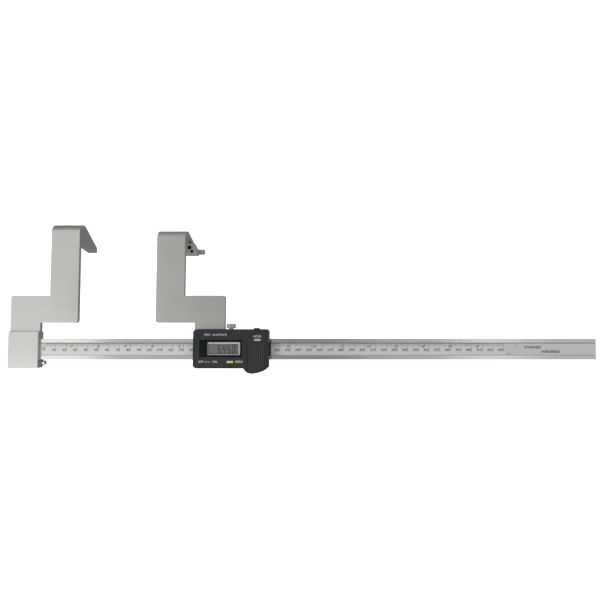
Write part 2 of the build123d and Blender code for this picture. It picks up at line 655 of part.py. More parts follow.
# main board, with its sensor pads facing the scale
PCB_IN = 0.3
pcb = slab(
    HEAD_X + WALL + PCB_IN, HEAD_R_X - WALL - PCB_IN, HEAD_LOW + WALL + PCB_IN,
    HEAD_TOP - WALL - PCB_IN, Z_RAIL, Z_BOARD
)
pcb = chamfer(edges_along(pcb, Axis.Z), 2.0)
for x, y in HOUSING_SCREWS:
    pcb = pcb - rod_z(Z_RAIL - 1, Z_BOARD + 1, x, y, BOSS_R + 0.1)
pcb = pcb - slab(HEAD_R_X - 6.5, HEAD_R_X, HEAD_TOP - 6.4, HEAD_TOP, Z_RAIL - 1, Z_BOARD + 1)
save("main_board", pcb)

# buttons, each over a metal snap dome on the board
DOME_H = 0.35
Z_DOME = Z_BOARD + DOME_H
FLANGE_T = 0.7
domes = []
for name, bx, by in BUTTONS:
    x = HEAD_X + bx
    skin = Z_HEAD - WALL
    cap = slab(
        x - BUTTON_W / 2, x + BUTTON_W / 2, by - BUTTON_H / 2, by + BUTTON_H / 2,
        skin - 0.2, Z_HEAD + BUTTON_PROUD
    )
    cap = chamfer(cap.edges().group_by(Axis.Z)[-1], 0.25)
    flange = slab(
        x - BUTTON_W / 2 - 0.5, x + BUTTON_W / 2 + 0.5, by - BUTTON_H / 2 - 0.5, by + BUTTON_H / 2 + 0.5,
        skin - 0.1 - FLANGE_T, skin - 0.1
    )
    stem = rod_z(Z_DOME + BUTTON_TRAVEL + 0.05, skin - 0.1 - FLANGE_T, x, by, 0.8)
    save(name, cap + flange + stem)
    dome = Pos(x, by, Z_BOARD + DOME_H / 2) * Cone(2.0, 1.2, DOME_H)
    domes.append(dome)
save("button_domes", *domes)

# battery, with a leaf spring below and a clip above its edge
CELL_AT = (HEAD_X + CELL_X, CELL_Y)
SPRING_T = 0.3
Z_CELL = Z_BOARD + SPRING_T
spring = slab(CELL_AT[0] - 4, CELL_AT[0] + 4, CELL_Y - 2, CELL_Y + 2, Z_BOARD, Z_CELL)
save("battery_spring", spring)
cell = rod_z(Z_CELL, Z_CELL + CELL_H, CELL_AT[0], CELL_Y, CELL_R)
cell = chamfer(cell.edges().filter_by(GeomType.CIRCLE), 0.4)
save("battery_cell", cell)
CLIP_T = 0.4
clip_x = CELL_AT[0] - CELL_R - 0.1 - CLIP_T
clip = slab(clip_x, clip_x + CLIP_T, CELL_Y - 2.5, CELL_Y + 2.5, Z_BOARD, Z_CELL + CELL_H + 0.05 + CLIP_T)
clip = clip + slab(
    clip_x, clip_x + 2.6, CELL_Y - 2.5, CELL_Y + 2.5,
    Z_CELL + CELL_H + 0.05, Z_CELL + CELL_H + 0.05 + CLIP_T
)
save("battery_clip", clip)

# battery cover with upright ribs; it slides off to the right
cover_zone = slab(
    COVER_X + COVER_GAP, HEAD_R_X + 1, HEAD_LOW - 10, COVER_TOP - COVER_GAP, 0, Z_HEAD + 1
)
Z_COVER0 = Z_COVER + COVER_GAP
Z_COVER1 = Z_HEAD - COVER_DROP
cover = bevelled(Z_COVER0, Z_COVER1, 0.4) & cover_zone
RIB_PITCH = 1.9
RIBS = int((COVER_W - 2.0) / RIB_PITCH)
RIB_W = 0.9
rib_x0 = COVER_X + 1.2
rib_field = raised(head_outline(0.9), Z_COVER1 - 0.2, Z_HEAD)
for i in range(RIBS):
    x = rib_x0 + i * RIB_PITCH
    rib = slab(x, x + RIB_W, HEAD_LOW - 10, COVER_TOP - COVER_GAP - 0.6, Z_COVER1 - 0.2, Z_HEAD)
    cover = cover + (rib & rib_field)
TONGUE_L = 1.8
TONGUE_T = 0.6
tongue = slab(COVER_X - TONGUE_L, COVER_X + COVER_GAP + 1, -12, 3, Z_COVER0, Z_COVER0 + TONGUE_T)
cover = cover + tongue
save("battery_cover", cover)

# port cover with a nail bump, and the contact block behind it
port_cover = slab(PORT_X0, HEAD_R_X - CORNER, HEAD_TOP - PORT_T, HEAD_TOP, PORT_Z0, PORT_Z1)
BUMP_X0 = HEAD_R_X - 13.6
BUMP_X1 = HEAD_R_X - 8.6
bump = slab(BUMP_X0, BUMP_X1, HEAD_TOP - 0.2, HEAD_TOP + 1.1, PORT_Z0 + 0.6, PORT_Z1 - 0.6)
bump = chamfer(bump.edges().group_by(Axis.Y)[-1], 0.5)
port_cover = port_cover + bump
save("port_cover", port_cover)
port_body = slab(
    PORT_HOLE_X0 + 0.3, PORT_HOLE_X1 - 0.3, HEAD_TOP - WALL - 2.6, HEAD_TOP - WALL - 0.1,
    Z_BOARD, PORT_Z1 - 1.0
)
PORT_PINS = 4
pins = []
for i in range(PORT_PINS):
    x = PORT_HOLE_X0 + 1.6 + i * 2.0
    pins.append(slab(x, x + 0.8, HEAD_TOP - WALL - 0.1, HEAD_TOP - WALL + 0.1, PORT_Z0 + 1.2, PORT_Z1 - 1.6))
save("port_contacts", port_body, *pins)

# ---- contact holder and pin on the moving hook ----------------------------------------------------

Z_HB = Z_FACE - HOLDER_BACK
side = Plane(origin=(HOLDER_X0, 0, 0), x_dir=(0, 1, 0), z_dir=(1, 0, 0))
holder_side = make_face(Polyline(
    (HOLDER_LOW, Z_HOLDER), (hook_underside(Z_HOLDER), Z_HOLDER),
    (hook_underside(Z_HB), Z_HB), (HOLDER_LOW, Z_HB), close=True,
))
contact_holder = extrude(side * holder_side, HOLDER_W, dir=(1, 0, 0))
low_edges = contact_holder.edges().filter_by(Axis.X).group_by(Axis.Y)[0]
contact_holder = fillet(low_edges, 2.0)
PIN_X0 = HOLDER_X0 + 1.5
pin_bore = PIN_SHANK_R + HOLE_CLEAR
contact_holder = contact_holder - rod_x(PIN_X0 - 0.1, HOLDER_X1 + 1, PIN_Y, PIN_Z, pin_bore)
contact_holder = contact_holder - rod_z(
    screw_z1, Z_HOLDER + 1, HOLDER_SCREW_X, HOLDER_SCREW_Y, HOLDER_HEAD_R + HOLE_CLEAR
)
contact_holder = contact_holder - holder_shank_hole
PIN_SCREW_X = HOLDER_X1 - PIN_SCREW_IN
pin_screw_bore = PIN_SCREW_R + HOLE_CLEAR
contact_holder = contact_holder - rod_z(PIN_Z, Z_HOLDER + 1, PIN_SCREW_X, PIN_Y, pin_screw_bore)
save("contact_holder", contact_holder)

holder_head = rod_z(screw_z1, screw_top, HOLDER_SCREW_X, HOLDER_SCREW_Y, HOLDER_HEAD_R)
socket = Pos(HOLDER_SCREW_X, HOLDER_SCREW_Y, screw_top - 1.3) * extrude(RegularPolygon(1.2, 6), 1.4)
save("holder_screw", holder_head + holder_shank - socket)

pin = rod_x(HOLDER_X1, HOLDER_X1 + PIN_PROUD, PIN_Y, PIN_Z, PIN_R)
pin = chamfer(pin.edges().filter_by(GeomType.CIRCLE).group_by(Axis.X)[-1], 0.4)
pin = pin + rod_x(PIN_X0, HOLDER_X1, PIN_Y, PIN_Z, PIN_SHANK_R)
pin_screw_flat = PIN_Z + math.sqrt(PIN_SHANK_R ** 2 - pin_screw_bore ** 2)
pin = pin - rod_z(pin_screw_flat, Z_HOLDER, PIN_SCREW_X, PIN_Y, pin_screw_bore)
save("contact_pin", pin)
PIN_SCREW_TOP = Z_HOLDER - 1.0
set_screw = rod_z(pin_screw_flat, PIN_SCREW_TOP, PIN_SCREW_X, PIN_Y, PIN_SCREW_R)
pin_socket = Pos(PIN_SCREW_X, PIN_Y, PIN_SCREW_TOP - 1.0) * extrude(RegularPolygon(0.8, 6), 1.1)
save("pin_set_screw", set_screw - pin_socket)
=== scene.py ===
import bpy
import math
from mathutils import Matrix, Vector


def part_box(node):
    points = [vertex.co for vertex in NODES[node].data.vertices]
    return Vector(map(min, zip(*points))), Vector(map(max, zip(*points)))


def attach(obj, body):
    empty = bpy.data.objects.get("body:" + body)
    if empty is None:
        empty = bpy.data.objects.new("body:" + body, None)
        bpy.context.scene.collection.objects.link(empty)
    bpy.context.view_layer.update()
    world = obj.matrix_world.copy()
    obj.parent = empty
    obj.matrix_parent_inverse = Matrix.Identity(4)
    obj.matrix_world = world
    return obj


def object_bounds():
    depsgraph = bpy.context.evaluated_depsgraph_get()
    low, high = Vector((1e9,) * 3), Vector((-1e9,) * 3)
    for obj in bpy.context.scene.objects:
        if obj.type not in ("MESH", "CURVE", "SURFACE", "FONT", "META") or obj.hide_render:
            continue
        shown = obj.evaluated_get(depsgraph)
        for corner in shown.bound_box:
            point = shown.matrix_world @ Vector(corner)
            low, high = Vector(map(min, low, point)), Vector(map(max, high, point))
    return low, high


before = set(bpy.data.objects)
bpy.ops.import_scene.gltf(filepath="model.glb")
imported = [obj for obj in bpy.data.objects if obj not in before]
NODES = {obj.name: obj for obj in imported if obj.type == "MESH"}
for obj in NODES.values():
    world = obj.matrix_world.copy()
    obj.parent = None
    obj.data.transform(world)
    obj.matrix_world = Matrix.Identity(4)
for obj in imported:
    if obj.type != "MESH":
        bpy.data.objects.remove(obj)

cad_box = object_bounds()

# Digital caliper: printed marks, display, labels, finishes, studio and camera.
# Lengths are in metres; MM turns millimetres into metres.

MM = 0.001

BEAM = "beam_body"
SLIDER = "slider_body"
COVER = "battery_cover_body"

film_lo, film_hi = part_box("scale_film")
head_lo, head_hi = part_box("front_housing")
lcd_lo, lcd_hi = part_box("lcd_panel")
bezel_lo, bezel_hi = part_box("lcd_frame")
cover_lo, cover_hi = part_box("battery_cover")

SCALE_ZERO_X = 18.7 * MM        # the scale's zero line, from the end block's centre
PRINT_END_X = SCALE_ZERO_X + 431 * MM
PRINT_T = 0.02 * MM             # thickness of ink on the scale and the head
UPPER_SHADE_W = 0.6 * MM         # painted groove shadow along the scale film's upper edge
LOWER_SHADE_W = 0.7 * MM         # fainter painted groove shadow along its lower edge
RIB_HIGHLIGHT_DEPTH = 0.2 * MM        # how far down a cover rib's painted highlight reaches
LCD_FRAME_SHADE_W = 0.4 * MM            # painted shadow of the display frame, a dark band just inside its opening
LCD_LEFT = 1.3 * MM             # the frame's width round its opening, on each side
LCD_RIGHT = 1.8 * MM
LCD_BELOW = 1.1 * MM
LCD_ABOVE = 1.7 * MM
INCH = 25.4 * MM


# ---- shader helpers ---------------------------------------------------------------------------

class Value:
    """A number socket; Python's operators on it add Math nodes."""

    def __init__(self, shader, socket):
        self.shader = shader
        self.socket = socket

    def _math(self, operation, first, second=None):
        node = self.shader.node("ShaderNodeMath", {"operation": operation}, {0: first, 1: second})
        return Value(self.shader, node.outputs[0])

    def __add__(self, other):
        return self._math("ADD", self, other)

    def __radd__(self, other):
        return self._math("ADD", other, self)

    def __sub__(self, other):
        return self._math("SUBTRACT", self, other)

    def __rsub__(self, other):
        return self._math("SUBTRACT", other, self)

    def __mul__(self, other):
        return self._math("MULTIPLY", self, other)

    def __rmul__(self, other):
        return self._math("MULTIPLY", other, self)

    def __truediv__(self, other):
        return self._math("DIVIDE", self, other)

    def __abs__(self):
        return self._math("ABSOLUTE", self)

    def over(self, limit):
        """1 where the value is above the limit, else 0."""
        return self._math("GREATER_THAN", self, limit)

    def least(self, other):
        return self._math("MINIMUM", self, other)

    def most(self, other):
        return self._math("MAXIMUM", self, other)


class Shader:
    """One material, its Principled shader and the nodes that feed it."""

    def __init__(self, name):
        self.material = bpy.data.materials.new(name)
        self.material.use_nodes = True
        self.tree = self.material.node_tree
        self.principled = self.tree.nodes["Principled BSDF"]
        coordinates = self.node("ShaderNodeTexCoord", {}, {})
        self.place = coordinates.outputs["Object"]
        self.facing = coordinates.outputs["Normal"]

    def node(self, kind, settings, inputs):
        """Add a node: its settings first, then a value or a link for each named socket."""
        made = self.tree.nodes.new(kind)
        for key, setting in settings.items():
            if key == "stops":
                ramp = made.color_ramp
                while len(ramp.elements) < len(setting):
                    ramp.elements.new(0.5)
                for element, (position, colour) in zip(ramp.elements, setting):
                    element.position = position
                    element.color = (*colour, 1)
            else:
                setattr(made, key, setting)
        for key, given in inputs.items():
            if given is None:
                continue
            if isinstance(given, Value):
                given = given.socket
            if isinstance(given, bpy.types.NodeSocket):
                self.tree.links.new(given, made.inputs[key])
            else:
                made.inputs[key].default_value = given
        return made

    def axes(self):
        split = self.node("ShaderNodeSeparateXYZ", {}, {0: self.place})
        return [Value(self, split.outputs[i]) for i in range(3)]

    def sideways(self):
        """1 on faces that look along X, such as the cut sides of a plate, else 0."""
        split = self.node("ShaderNodeSeparateXYZ", {}, {0: self.facing})
        return abs(Value(self, split.outputs[0])).over(0.6)

    def noise(self, stretch, scale=1.0, detail=3.0, roughness=0.55):
        """Noise on the object's own coordinates, stretched by a different amount along each axis."""
        mapped = self.node("ShaderNodeMapping", {}, {"Vector": self.place, "Scale": stretch})
        made = self.node(
            "ShaderNodeTexNoise", {},
            {"Vector": mapped.outputs[0], "Scale": scale, "Detail": detail, "Roughness": roughness},
        )
        return Value(self, made.outputs["Fac"])

    def ramp(self, factor, stops):
        made = self.node("ShaderNodeValToRGB", {"stops": stops}, {0: factor})
        return made.outputs["Color"]

    def mix(self, factor, first, second):
        made = self.node("ShaderNodeMix", {"data_type": "RGBA"}, {0: factor, 6: first, 7: second})
        return made.outputs[2]

    def bump(self, height, strength, distance):
        made = self.node(
            "ShaderNodeBump", {}, {"Height": height, "Strength": strength, "Distance": distance}
        )
        self.feed("Normal", made.outputs[0])

    def feed(self, socket, given):
        if isinstance(given, Value):
            given = given.socket
        self.tree.links.new(given, self.principled.inputs[socket])

    def set(self, **sockets):
        for key, given in sockets.items():
            self.principled.inputs[key.replace("_", " ")].default_value = given


def grey(level):
    return (level, level, level)


def rgba(colour):
    return (*colour, 1.0)


# ---- finishes ---------------------------------------------------------------------------------

def brushed_steel(name, dark, light, rough, along="Y", grain=1.0, cloud=0.5, side_shade_grey=0.50):
    """Stainless steel brushed along one axis, with broad clouds; its cut sides are rougher, a real duller
    finish, and take a flat grey base colour that is painted shade where it is darker than the faces.
    """
    s = Shader(name)
    fine = {"X": (90, 5200, 5200), "Y": (5200, 90, 5200), "Z": (5200, 5200, 90)}[along]
    broad = {"X": (14, 700, 700), "Y": (700, 14, 700), "Z": (700, 700, 14)}[along]
    streaks = s.noise(fine, 1.0, 4.0, 0.6)
    bands = s.noise(broad, 1.0, 3.0, 0.5)
    clouds = s.noise((28, 28, 28), 1.0, 3.0, 0.5)
    tone = streaks * (0.45 * grain) + bands * (0.45 * grain) + clouds * cloud
    tone = tone / (0.9 * grain + cloud)
    # Sideways faces: the extra roughness is a real duller cut finish; the flat grey base colour is painted
    # shade.
    side = s.sideways()
    face = s.ramp(tone, [(0.30, dark), (0.70, light)])
    s.feed("Base Color", s.mix(side, face, rgba(grey(side_shade_grey))))
    s.feed("Roughness", rough - 0.06 + streaks * 0.10 + clouds * 0.04 + side * 0.2)
    s.set(Metallic=1.0)
    s.bump(streaks + bands * 0.5, 0.10, 0.00004)
    return s.material


def turned_steel(name, dark, light, rough):
    """Small turned or ground parts: fine rings of tone without one direction."""
    s = Shader(name)
    fine = s.noise((2600, 2600, 2600), 1.0, 3.0)
    clouds = s.noise((160, 160, 160), 1.0, 2.0)
    s.feed("Base Color", s.ramp(fine * 0.4 + clouds * 0.6, [(0.32, dark), (0.68, light)]))
    s.feed("Roughness", rough - 0.05 + fine * 0.1)
    s.set(Metallic=1.0)
    s.bump(fine, 0.08, 0.00003)
    return s.material


def holder_finish():
    """Matt nickel-plated holder: a fine sandblasted grain under a soft cloud."""
    s = Shader("holder_matt_nickel")
    grain = s.noise((2200, 2200, 2200), 1.0, 2.0)
    cloud = s.noise((120, 120, 120), 1.0, 2.0)
    tone = grain * 0.4 + cloud * 0.6
    s.feed("Base Color", s.ramp(tone, [(0.3, grey(0.48)), (0.7, grey(0.60))]))
    s.feed("Roughness", 0.42 + grain * 0.1)
    s.set(Metallic=0.4)
    s.bump(grain, 0.12, 0.00004)
    return s.material


def moulded(name, dark, light, rough, grain=0.25, grain_scale=2400.0):
    """Moulded plastic with a fine spark-eroded grain and a little handling shine."""
    s = Shader(name)
    sparks = s.noise((grain_scale,) * 3, 1.0, 2.0)
    shine = s.noise((45, 45, 45), 1.0, 3.0)
    s.feed("Base Color", s.ramp(sparks * 0.5 + shine * 0.5, [(0.3, dark), (0.7, light)]))
    s.feed("Roughness", rough - 0.07 + shine * 0.14)
    s.bump(sparks, grain, 0.00005)
    return s.material


def ribbed_finish():
    """Moulded cover: the rib tops carry a painted highlight, paler than the grooves between them."""
    s = Shader("cover_ribbed")
    x, y, z = s.axes()
    sparks = s.noise((2400, 2400, 2400), 1.0, 2.0)
    shine = s.noise((45, 45, 45), 1.0, 3.0)
    tone = sparks * 0.5 + shine * 0.5
    groove = s.ramp(tone, [(0.3, grey(0.005)), (0.7, grey(0.009))])
    # Painted highlight: the top of each rib is paler, as if lit from above.
    top = s.ramp(tone, [(0.3, (0.022, 0.023, 0.025)), (0.7, (0.034, 0.036, 0.039))])
    s.feed("Base Color", s.mix(z.over(cover_hi.z - RIB_HIGHLIGHT_DEPTH), groove, top))
    s.feed("Roughness", 0.35 + shine * 0.14)
    s.bump(sparks, 0.25, 0.00005)
    return s.material


def ink(name, dark, light):
    """Printed ink: nearly flat, with the speckle of a silk screen."""
    s = Shader(name)
    speckle = s.noise((3500, 3500, 3500), 1.0, 2.0)
    s.feed("Base Color", s.ramp(speckle, [(0.3, dark), (0.7, light)]))
    s.feed("Roughness", 0.5 + speckle * 0.15)
    return s.material


def film_finish():
    """Pale scale film: faint speckle and lengthwise cloud, with painted groove shadows as dark lines along
    both edges.
    """
    s = Shader("scale_film_print")
    x, y, z = s.axes()
    speckle = s.noise((1600, 1600, 1600), 1.0, 3.0)
    cloud = s.noise((9, 60, 9), 1.0, 3.0)
    tone = speckle * 0.35 + cloud * 0.65
    pale = s.ramp(tone, [(0.3, (0.50, 0.53, 0.505)), (0.7, (0.60, 0.63, 0.605))])
    bare = s.ramp(tone, [(0.3, (0.47, 0.47, 0.475)), (0.7, (0.55, 0.55, 0.555))])
    colour = s.mix(x.over(PRINT_END_X), pale, bare)
    # Painted groove shadows: a dark line along the upper edge and a fainter one along the lower edge.
    upper = y.over(film_hi.y - UPPER_SHADE_W)
    lower = (y * -1.0).over(-film_lo.y - LOWER_SHADE_W)
    colour = s.mix(lower * 0.45, colour, rgba(grey(0.10)))
    s.feed("Base Color", s.mix(upper, colour, rgba(grey(0.03))))
    s.feed("Roughness", 0.36 + speckle * 0.12)
    s.feed("Metallic", 0.35 - upper * 0.3)
    s.bump(speckle, 0.05, 0.00002)
    return s.material


def window_finish():
    """Clear window whose back is printed glossy black except over the LCD and its frame."""
    s = Shader("window_black_surround")
    x, y, z = s.axes()
    middle = (bezel_lo + bezel_hi) / 2
    half = (bezel_hi - bezel_lo) / 2
    inside = (abs(x - middle.x) - half.x).most(abs(y - middle.y) - half.y)
    surround = inside.over(-0.05 * MM)
    haze = s.noise((70, 70, 70), 1.0, 3.0)
    s.feed("Base Color", s.ramp(haze, [(0.3, grey(0.004)), (0.7, grey(0.009))]))
    s.feed("Roughness", 0.05 + haze * 0.08)
    s.feed("Alpha", surround * 0.93 + 0.07)
    s.set(IOR=1.49, Specular_IOR_Level=0.13)
    return s.material


def lcd_finish():
    """Grey-green reflective LCD with a soft mottling, a tone that darkens towards +X and -Y, and a dark
    band round its edge painted as the frame's shadow.
    """
    s = Shader("lcd_grey_green")
    x, y, z = s.axes()
    mottle = s.noise((240, 240, 240), 1.0, 3.0)
    middle = (lcd_lo + lcd_hi) / 2
    fall = (x - middle.x) * 6.0 - (y - middle.y) * 12.0
    colour = s.ramp(mottle * 0.5 + 0.25 + fall, [(0.2, (0.21, 0.23, 0.20)), (0.8, (0.13, 0.15, 0.125))])
    # Painted shadow of the display frame: a dark band just inside the frame's opening.
    from_sides = (x - (bezel_lo.x + LCD_LEFT)).least((bezel_hi.x - LCD_RIGHT) - x)
    from_ends = (y - (bezel_lo.y + LCD_BELOW)).least((bezel_hi.y - LCD_ABOVE) - y)
    frame_shade = (from_sides.least(from_ends) * -1.0).over(-LCD_FRAME_SHADE_W)
    s.feed("Base Color", s.mix(frame_shade * 0.8, colour, rgba((0.03, 0.035, 0.03))))
    s.feed("Roughness", 0.32 + mottle * 0.1)
    return s.material


def laminate_finish():
    """Green circuit laminate with a woven glass cloth under the lacquer."""
    s = Shader("laminate_green")
    weave_x = s.noise((2600, 120, 1), 1.0, 1.0)
    weave_y = s.noise((120, 2600, 1), 1.0, 1.0)
    weave = weave_x * 0.5 + weave_y * 0.5
    s.feed("Base Color", s.ramp(weave, [(0.35, (0.01, 0.07, 0.03)), (0.65, (0.03, 0.14, 0.06))]))
    s.feed("Roughness", 0.3 + weave * 0.2)
    return s.material


def striped_rubber_finish():
    """Silicone connector with its fine conducting stripes."""
    s = Shader("zebra_silicone")
    x, y, z = s.axes()
    stripe = s.node("ShaderNodeMath", {"operation": "FRACT"}, {0: x * 2000.0})
    stripe = Value(s, stripe.outputs[0]).over(0.5)
    haze = s.noise((300, 300, 300), 1.0, 2.0)
    pink = s.ramp(haze, [(0.3, (0.30, 0.13, 0.15)), (0.7, (0.40, 0.20, 0.22))])
    s.feed("Base Color", s.mix(stripe, pink, rgba(grey(0.02))))
    s.feed("Roughness", 0.55 + haze * 0.1)
    return s.material


def finish_nodes():
    """Give every CAD node its finish."""
    jaw = brushed_steel("jaw_brushed", (0.45, 0.45, 0.435), (0.55, 0.55, 0.53), 0.30, "X", 1.0, 0.6)
    mirror_jaw = brushed_steel("jaw_polished", (0.56, 0.56, 0.53), (0.64, 0.64, 0.60), 0.24, "X", 0.5, 0.8)
    block = brushed_steel("block_ground", (0.45, 0.46, 0.44), (0.55, 0.56, 0.53), 0.34, "X", 0.8, 0.7)
    beam = brushed_steel("beam_ground", (0.64, 0.64, 0.61), (0.74, 0.74, 0.70), 0.14, "X", 0.8, 0.5)
    # Its last argument, 0.3, is the painted shade on the frame's cut sides.
    frame_steel = brushed_steel("frame_milled", grey(0.40), grey(0.54), 0.32, "X", 1.0, 0.5, 0.3)
    pale_steel = holder_finish()
    pin = turned_steel("pin_ground", grey(0.48), grey(0.66), 0.22)
    screw = turned_steel("screw_turned", grey(0.34), grey(0.50), 0.28)
    dark_screw = turned_steel("screw_black_oxide", grey(0.012), grey(0.03), 0.35)
    brass = turned_steel("gib_brass", (0.55, 0.40, 0.16), (0.72, 0.55, 0.26), 0.3)
    sprung = turned_steel("spring_bronze", (0.55, 0.50, 0.36), (0.70, 0.64, 0.48), 0.25)
    cell = turned_steel("cell_nickel", grey(0.52), grey(0.68), 0.2)
    black = moulded("housing_black", (0.0045, 0.005, 0.006), (0.010, 0.011, 0.0125), 0.44)
    wiper = moulded("wiper_black", grey(0.008), grey(0.018), 0.6, 0.4, 1500.0)
    bezel = moulded("lcd_frame_pale", (0.52, 0.54, 0.53), (0.64, 0.66, 0.65), 0.38, 0.1)
    finishes = {
        "fixed_jaw": jaw, "moving_jaw": mirror_jaw,
        "end_block": block, "end_back_plate": block, "beam": beam,
        "slider_frame": frame_steel, "contact_holder": pale_steel, "end_stop": frame_steel,
        "contact_pin": pin, "lock_screw": pin, "end_dowels": pin,
        "end_block_screws": screw, "end_stop_screw": screw, "jaw_screws": screw,
        "housing_screws": screw, "gib_set_screws": screw, "adjusting_screw": screw,
        "adjusting_lock_nut": screw,
        "holder_screw": dark_screw, "pin_set_screw": dark_screw,
        "wedge_gib": brass, "slider_gib": brass, "lock_pad": brass,
        "button_domes": sprung, "battery_spring": sprung, "battery_clip": sprung,
        "battery_cell": cell,
        "front_housing": black, "battery_cover": ribbed_finish(), "port_cover": black,
        "wipers": wiper, "port_contacts": wiper,
        "lcd_frame": bezel, "lcd_holder": bezel,
        "scale_film": film_finish(), "display_window": window_finish(), "lcd_panel": lcd_finish(),
        "scale_board": laminate_finish(), "main_board": laminate_finish(),
        "zebra_strips": striped_rubber_finish(),
        "mm_inch_button": moulded("button_blue", (0.10, 0.20, 0.27), (0.18, 0.28, 0.36), 0.35, 0.1),
        "on_off_button": moulded("button_red", (0.19, 0.06, 0.055), (0.27, 0.09, 0.08), 0.35, 0.1),
        "zero_button": moulded("button_yellow", (0.52, 0.48, 0.12), (0.64, 0.60, 0.20), 0.35, 0.1),
        "hold_button": moulded("button_green", (0.26, 0.40, 0.24), (0.38, 0.52, 0.36), 0.35, 0.1),
    }
    for name, node in NODES.items():
        node.data.materials.clear()
        node.data.materials.append(finishes[name])


# ---- modelling helpers --------------------------------------------------------------------------

def start_fresh():
    if bpy.context.mode != "OBJECT":
        bpy.ops.object.mode_set(mode="OBJECT")
    bpy.ops.object.select_all(action="DESELECT")


def apply_place(piece):
    start_fresh()
    piece.select_set(True)
    bpy.context.view_layer.objects.active = piece
    bpy.ops.object.transform_apply(location=True, rotation=True, scale=True)


def bar(name, lo, hi):
    """A flat bar between two corners."""
    start_fresh()
    centre = [(a + b) / 2 for a, b in zip(lo, hi)]
    size = [b - a for a, b in zip(lo, hi)]
    bpy.ops.mesh.primitive_cube_add(size=1, location=centre, scale=size)
    made = bpy.context.object
    made.name = name
    apply_place(made)
    return made


def repeat(piece, count, step):
    """Copies of a piece in a row, made by an applied Array modifier."""
    array = piece.modifiers.new("row", "ARRAY")
    array.count = count
    array.use_relative_offset = False
    array.use_constant_offset = True
    array.constant_offset_displace = step
    start_fresh()
    piece.select_set(True)
    bpy.context.view_layer.objects.active = piece
    bpy.ops.object.modifier_apply(modifier="row")
    return piece


def join(name, pieces):
    """Join pieces into one, with its own mesh and its place in the mesh."""
    start_fresh()
    for piece in pieces:
        piece.select_set(True)
    bpy.context.view_layer.objects.active = pieces[0]
    bpy.ops.object.join()
    made = bpy.context.object
    made.name = name
    made.data.name = name
    return made


def lettering(words, size, bold=0.0, spacing=1.0, thick=PRINT_T):
    """Text pieces made mesh: each entry is (text, x, y, z, align)."""
    made = []
    for text, x, y, z, align in words:
        start_fresh()
        bpy.ops.object.text_add(location=(0, 0, 0))
        piece = bpy.context.object
        piece.data.body = text
        piece.data.size = size
        piece.data.align_x = align
        piece.data.align_y = "CENTER"
        piece.data.space_character = spacing
        piece.data.extrude = thick / 2
        piece.data.offset = bold
        piece.data.resolution_u = 3
        bpy.ops.object.convert(target="MESH")
        piece = bpy.context.object
        bpy.ops.object.mode_set(mode="EDIT")
        bpy.ops.mesh.select_all(action="SELECT")
        bpy.ops.mesh.remove_doubles(threshold=1e-7)
        bpy.ops.object.mode_set(mode="OBJECT")
        piece.location = (x, y, z)
        apply_place(piece)
        made.append(piece)
    return made


def dress(piece, material, body):
    piece.data.materials.clear()
    piece.data.materials.append(material)
    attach(piece, body)


# ---- printed scale -------------------------------------------------------------------------------

TICK_Z = film_hi.z
RULE_Y = film_hi.y - 0.4 * MM           # the line that the ticks hang from
MM_LAST = 430
INCH_LAST = 17


def tick_row(name, first_x, width, y0, y1, count, step):
    half = width / 2
    tick = bar(name, (first_x - half, y0, TICK_Z), (first_x + half, y1, TICK_Z + PRINT_T))
    return repeat(tick, count, (step, 0, 0))


def make_graduations(black_ink):
    """Every tick hangs from the upper line: 1, 5 and 10 mm, and short heavy inch tenths."""
    x = SCALE_ZERO_X
    top = RULE_Y
    rows = [
        tick_row("tick_mm", x, 0.22 * MM, top - 2.6 * MM, top, MM_LAST + 1, MM),
        tick_row("tick_5mm", x, 0.24 * MM, top - 3.4 * MM, top, MM_LAST // 5 + 1, 5 * MM),
        tick_row("tick_10mm", x, 0.28 * MM, -2.1 * MM, top, MM_LAST // 10 + 1, 10 * MM),
        tick_row("tick_tenth", x, 0.30 * MM, top - 1.1 * MM, top, (INCH_LAST - 1) * 10 + 1, INCH / 10),
        tick_row("tick_inch", x, 0.30 * MM, top - 4.0 * MM, top, INCH_LAST, INCH),
    ]
    dress(join("scale_graduations", rows), black_ink, BEAM)


def make_numbers(black_ink, red_ink):
    z = TICK_Z + PRINT_T / 2
    x = SCALE_ZERO_X
    mm_words = [
        (str(n), x + n * MM - 0.5 * MM, -0.8 * MM, z, "RIGHT") for n in range(10, MM_LAST + 1, 10)
    ]
    mm_words.append(("0", x - 0.4 * MM, 0.3 * MM, z, "RIGHT"))
    inch_words = [
        (str(n), x + n * INCH - 0.5 * MM, 2.3 * MM, z, "RIGHT") for n in range(1, INCH_LAST)
    ]
    numbers = lettering(mm_words, 3.2 * MM, 0.06 * MM) + lettering(inch_words, 2.7 * MM, 0.06 * MM)
    dress(join("scale_numbers", numbers), black_ink, BEAM)
    mark_x = x + (MM_LAST + 5) * MM
    marks = lettering([("mm", mark_x, -4.2 * MM, z, "CENTER")], 2.6 * MM, 0.02 * MM)
    dress(join("scale_mm_mark", marks), red_ink, BEAM)
    inch_mark = lettering([("in", mark_x + 6 * MM, 3.3 * MM, z, "CENTER")], 2.6 * MM, 0.02 * MM)
    dress(join("scale_in_mark", inch_mark), black_ink, BEAM)
    words = [
        ("STAINLESS", x + 457 * MM, 1.7 * MM, z, "CENTER"),
        ("HARDENED", x + 474 * MM, -2.5 * MM, z, "CENTER"),
    ]
    steel_words = lettering(words, 3.2 * MM, 0.10 * MM, 1.05)
    dress(join("scale_steel_words", steel_words), black_ink, BEAM)


# ---- display ------------------------------------------------------------------------------------

SEGMENTS = {
    "0": "abcdef", "1": "bc", "2": "abged", "3": "abgcd", "4": "fgbc",
    "5": "afgcd", "6": "afgcde", "7": "abc", "8": "abcdefg", "9": "abcdfg",
}
DIGIT_W = 3.0 * MM
DIGIT_H = 8.1 * MM
DIGIT_PITCH = 4.5 * MM
STROKE = 0.85 * MM
DIGIT_SLANT = math.tan(math.radians(9))
READOUT = "5.450"
LCD_Z = lcd_hi.z


